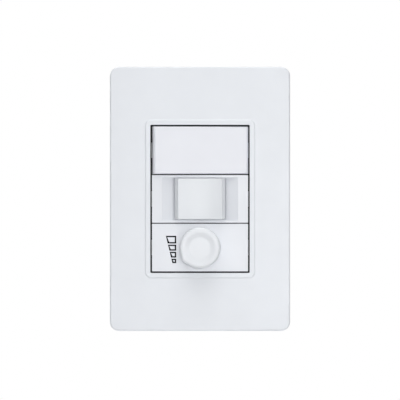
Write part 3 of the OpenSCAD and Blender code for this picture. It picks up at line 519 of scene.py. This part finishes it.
POINTER = math.radians(217)
KNOB_STEPS = 31  # a finer loop, so that the pointer is crisp
KNOB_FOOT_R = 9.3
KNOB_FOOT = ((0.3, 0), (0.05, 0.15), (0, 0.5))  # its rear edge: inset, and distance ahead of the back
KNOB_TIP = 0.75  # how far the pointer reaches past the round
KNOB_BLUNT = 0.15  # what its corner has lost
KNOB_DRAFT = 0.15
KNOB_FRONT_ROUND = 1.1
DISH_EDGE_R, DISH_FLOOR_R, DISH_DEPTH = 7.4, 4.4, 0.6
DISH_STEPS = 10
DISH_LAND, DISH_FLAT = 0.35, 0.6  # loops that keep the front flat round the dish, and its floor flat
KNOB_BORE_R, KNOB_BOSS_R, KNOB_INNER_R = 3.05, 4.6, 7.7
KNOB_BORE_END, KNOB_SKIN = 2.2, 2.6  # from the front


def knob_loop(inset, y, centre):
    """The knob's outline: a circle drawn out to a blunt pointer by two tangents."""
    r, tip = KNOB_FOOT_R - inset, KNOB_FOOT_R - inset + KNOB_TIP
    opening = math.acos(r / (tip + KNOB_BLUNT))
    count = points_round(KNOB_STEPS)
    points = []
    for i in range(count):
        a = 2 * math.pi * (i + 0.5) / count
        off = abs(math.atan2(math.sin(a - POINTER), math.cos(a - POINTER)))
        reach = min(r / math.cos(opening - off), tip) if off < opening else r
        points.append(Vector((centre.x + reach * math.cos(a), y, centre.z + reach * math.sin(a))))
    return points


def dimmer_knob():
    """The knob, from its bore out round its foot and over the front to the floor of the dish."""
    centre = joint_point("knob_turn")
    low, high = span("dimmer_knob")
    front, foot = low.y, high.y

    def circle(radius, y):
        return circle_loop(radius, y, centre.x, centre.z, KNOB_STEPS)

    loops = [
        circle(KNOB_BORE_R, front + KNOB_BORE_END),
        circle(KNOB_BORE_R, foot),
        circle(KNOB_BOSS_R, foot),
        circle(KNOB_BOSS_R, front + KNOB_SKIN),
        circle(KNOB_INNER_R, front + KNOB_SKIN),
        circle(KNOB_INNER_R, foot),
    ]
    loops += [knob_loop(inset, foot - ahead, centre) for inset, ahead in KNOB_FOOT]
    loops += [knob_loop(KNOB_DRAFT + inset, front + drop, centre) for inset, drop in fillet(KNOB_FRONT_ROUND, 8)]
    loops.append(circle(DISH_EDGE_R + DISH_LAND, front))
    for i in range(DISH_STEPS + 1):
        t = i / DISH_STEPS
        radius = DISH_EDGE_R + (DISH_FLOOR_R - DISH_EDGE_R) * t
        loops.append(circle(radius, front + DISH_DEPTH * (3 * t * t - 2 * t ** 3)))
    loops.append(circle(DISH_FLOOR_R - DISH_FLAT, front + DISH_DEPTH))
    bm = bmesh.new()
    add_loft(bm, loops)
    piece("dimmer_knob_moulding", bm, "dimmer_knob")


dimmer_knob()


# ---------------------------------------------------------------- dimmer fascia

FASCIA_STEPS = 16  # a finer loop, so that the hole is round
FASCIA_HALF = (21.8, 10.8)
FASCIA_CORNER, FASCIA_EDGE = 0.3, 0.1
FASCIA_MARGIN = 0.8  # a loop that keeps the front flat inside its edge
FASCIA_WALL, FASCIA_SKIN = 1.3, 2
SHAFT_HOLE_R, SHAFT_HOLE_EDGE = 3.4, 0.3
BOSS_R, BOSS_BACK = 5.6, -4.8
# each lug, from the left wall or the right one: distance from the middle, and Y
LUG = ((21.5, -3.1), (22.7, -3.1), (22.7, -2.6), (21.5, -1.4))
LUG_HALF = 3.5


def dimmer_fascia():
    """The front shell of the dimmer: one closed skin round its outside, shaft hole and inside."""
    low, high = span("dimmer_fascia")
    z, front, back = joint_point("knob_turn").z, low.y, high.y

    def rect(inset, y):
        return rect_loop(FASCIA_HALF, inset, FASCIA_CORNER, y, z, FASCIA_STEPS)

    def circle(radius, y):
        return circle_loop(radius, y, z=z, steps=FASCIA_STEPS)

    loops = [rect(0, back)]
    loops += [rect(inset, front + drop) for inset, drop in fillet(FASCIA_EDGE, 4)]
    loops.append(rect(FASCIA_MARGIN, front))
    loops += [circle(SHAFT_HOLE_R + out, front + drop) for out, drop in reversed(fillet(SHAFT_HOLE_EDGE, 4))]
    loops += [
        circle(SHAFT_HOLE_R, BOSS_BACK),
        circle(BOSS_R, BOSS_BACK),
        circle(BOSS_R, front + FASCIA_SKIN),
        rect(FASCIA_WALL, front + FASCIA_SKIN),
        rect(FASCIA_WALL, back),
    ]
    bm = bmesh.new()
    add_loft(bm, loops, closed=True)
    for side in (-1, 1):
        add_prism(bm, [(side * x, y) for x, y in LUG], z - LUG_HALF, z + LUG_HALF)
    piece("dimmer_fascia_moulding", bm, "dimmer_fascia")


dimmer_fascia()


# ---------------------------------------------------------------- box screws

THREAD_PITCH = 0.6
THREAD_ROOT, THREAD_CREST = 1.42, 1.75
THREAD_START = -0.3
THREAD_AROUND, THREAD_ROWS_PER_TURN = 20, 8
TIP_LENGTH, TIP_SHARE = 1.6, 0.45  # the taper at the end, and how thick its end is


def add_thread(bm, z, start, end):
    """A threaded shank along Y from start to end, at height z, ending in a taper."""
    rows = round((end - start) / THREAD_PITCH * THREAD_ROWS_PER_TURN)
    rings = []
    for i in range(rows + 1):
        y = start + (end - start) * i / rows
        tapered = max(0, 1 - (end - y) / TIP_LENGTH)
        fade = min(1, (y - start) / THREAD_PITCH)
        ring = []
        for k in range(THREAD_AROUND):
            phase = (y - start) / THREAD_PITCH - k / THREAD_AROUND
            crest = (0.5 - 0.5 * math.cos(2 * math.pi * phase)) * fade
            r = (THREAD_ROOT + (THREAD_CREST - THREAD_ROOT) * crest) * (1 - tapered * (1 - TIP_SHARE))
            a = 2 * math.pi * k / THREAD_AROUND
            ring.append((r * math.cos(a), y, z + r * math.sin(a)))
        rings.append(ring)
    add_loft(bm, rings)


def box_screws():
    """The CAD's two screws, with their plain shanks replaced by threaded ones."""
    reach = span("box_screws")[1].y
    apart = mounts["box_screws"]["dims"]["spacing_y_mm"]
    bm = bmesh.new()
    add_node(bm, "box_screws")
    shank = [f for f in bm.faces if all(v.co.y > -0.01 for v in f.verts)]
    bmesh.ops.delete(bm, geom=shank, context="FACES")
    bmesh.ops.holes_fill(bm, edges=[e for e in bm.edges if e.is_boundary], sides=0)
    for z in (-apart / 2, apart / 2):
        add_thread(bm, z, THREAD_START, reach)
    piece("box_screws_threaded", bm, "box_screws", smooth=35)


box_screws()


# ---------------------------------------------------------------- pieces kept in their CAD shape

# nodes that only get rounded edges, and how wide those are; the others stay as they are
EDGES = {
    "slide_fascia": 0.1, "switch_frame": 0.1, "support_frame": 0.25, "level_marks": 0.03,
    "switch_base": 0.25, "slide_base": 0.25, "dimmer_base": 0.25,
    "switch_clamps": 0.2, "slide_clamps": 0.2, "dimmer_clamps": 0.2,
    "switch_clamp_screws": 0.12, "slide_clamp_screws": 0.12, "dimmer_clamp_screws": 0.12,
    "rocker_cradle": 0.15, "contact_lever": 0.08, "common_bracket": 0.08, "load_strip": 0.08,
    "slide_carriage": 0.15, "contact_board": 0.08,
    "slide_common_rail": 0.06, "slide_left_pad": 0.06, "slide_right_pad": 0.06,
    "heatsink_plate": 0.15, "triac": 0.12, "triac_screw": 0.12,
    "pot_can": 0.15, "pot_nut": 0.15, "pot_bushing": 0.15, "pot_wafer": 0.08, "circuit_board": 0.08,
    "suppression_capacitor": 0.5, "timing_capacitor": 0.9, "resistors": 0.1, "diac": 0.1, "choke_core": 0.4,
}
for node, width in EDGES.items():
    refined(node, width)

for node, obj in nodes.items():
    obj.data.materials.clear()
    obj.data.materials.append(LOOKS[slot_of_node[node]])


# ---------------------------------------------------------------- stage, lights and camera

# places and sizes in metres, powers in watts
FLOOR_RADIUS, FLOOR_Z = 0.5, -0.2
TARGET = Vector((0, -0.009, 0))  # what the lights face
LIGHTS = (  # name, place, size, power, whether it casts shadows
    ("key", (0.12, -0.34, -0.02), 0.10, 0.192, True),
    ("top", (0, -0.30, 0.45), 0.50, 0.66, True),
    ("sky", (0, -0.30, 0.46), 0.50, 0.89, False),
    ("front", (0, -0.90, 0.02), 0.12, 1.41, True),
    ("rear", (-0.7, 1.2, 0.6), 1.2, 18, True),
)
GROUND_TOP, GROUND_FILL = 1.03, 0.10  # the white ground's light from above and from all round
LENS, SENSOR = 400, 36  # millimetres
VIEW_HEIGHT = 0.1816118  # the height that the view shows at VIEW_FACE
VIEW_FACE, VIEW_Z = -0.0086, -0.0005  # the plane of the plate's face, and the height of the view's middle


def floor():
    """A plain pale disc well below the plate."""
    bm = bmesh.new()
    bmesh.ops.create_circle(bm, cap_ends=True, segments=96, radius=FLOOR_RADIUS)
    mesh = bpy.data.meshes.new("floor")
    bm.to_mesh(mesh)
    bm.free()
    material, tree, shader, here, add = new_material("floor paint")
    patches = ramp(add, noise(add, here, size_mm=60), (0.78, 0.78, 0.78), (0.82, 0.82, 0.82))
    tree.links.new(patches, shader.inputs["Base Color"])
    shader.inputs["Roughness"].default_value = 0.7
    mesh.materials.append(material)
    disc = bpy.data.objects.new("floor", mesh)
    disc.location = (0, 0, FLOOR_Z)
    bpy.context.scene.collection.objects.link(disc)


def soft_light(name, place, size, power, shadow):
    """A square area light that faces the plate and doesn't show."""
    data = bpy.data.lights.new(name, "AREA")
    data.shape, data.size, data.energy, data.use_shadow = "SQUARE", size, power, shadow
    light = bpy.data.objects.new(name, data)
    light.location = place
    light.rotation_mode = "QUATERNION"
    light.rotation_quaternion = (TARGET - Vector(place)).to_track_quat("-Z", "Y")
    light.visible_camera = False
    bpy.context.scene.collection.objects.link(light)


def white_world():
    """A white ground. It lights from above and a little from all round, less so from both sides."""
    world = bpy.data.worlds.new("studio")
    world.use_nodes = True
    tree = world.node_tree
    background = tree.nodes["Background"]
    background.inputs["Color"].default_value = (1, 1, 1, 1)
    direction = tree.nodes.new("ShaderNodeTexCoord")
    axes = tree.nodes.new("ShaderNodeSeparateXYZ")
    tree.links.new(direction.outputs["Generated"], axes.inputs["Vector"])

    def math_node(operation, a, b, clamp=False):
        made = tree.nodes.new("ShaderNodeMath")
        made.operation, made.use_clamp = operation, clamp
        for socket, value in zip(made.inputs, (a, b)):
            if isinstance(value, bpy.types.NodeSocket):
                tree.links.new(value, socket)
            else:
                socket.default_value = value
        return made.outputs["Value"]

    upward = math_node("MULTIPLY", axes.outputs["Z"], 1, clamp=True)
    from_above = math_node("MULTIPLY", math_node("POWER", upward, 2), GROUND_TOP)
    open_light = math_node("ADD", from_above, GROUND_FILL)
    sideways = math_node("MULTIPLY", axes.outputs["X"], axes.outputs["X"])
    thrown = math_node("MULTIPLY", open_light, math_node("SUBTRACT", 1, sideways))
    path = tree.nodes.new("ShaderNodeLightPath")
    strength = tree.nodes.new("ShaderNodeMix")
    tree.links.new(path.outputs["Is Camera Ray"], strength.inputs["Factor"])
    tree.links.new(thrown, strength.inputs["A"])
    strength.inputs["B"].default_value = 1
    tree.links.new(strength.outputs["Result"], background.inputs["Strength"])
    bpy.context.scene.world = world


def camera():
    """A long lens straight in front, level with the plate."""
    data = bpy.data.cameras.new("camera")
    data.lens, data.sensor_width = LENS, SENSOR
    data.clip_start, data.clip_end = 0.01, 20
    distance = VIEW_HEIGHT * LENS / SENSOR
    cam = bpy.data.objects.new("camera", data)
    cam.location = (0, VIEW_FACE - distance, VIEW_Z)
    cam.rotation_euler = (math.radians(90), 0, 0)
    bpy.context.scene.collection.objects.link(cam)
    bpy.context.scene.camera = cam


floor()
white_world()
for light in LIGHTS:
    soft_light(*light)
camera()
bpy.context.scene.view_settings.view_transform = "Standard"
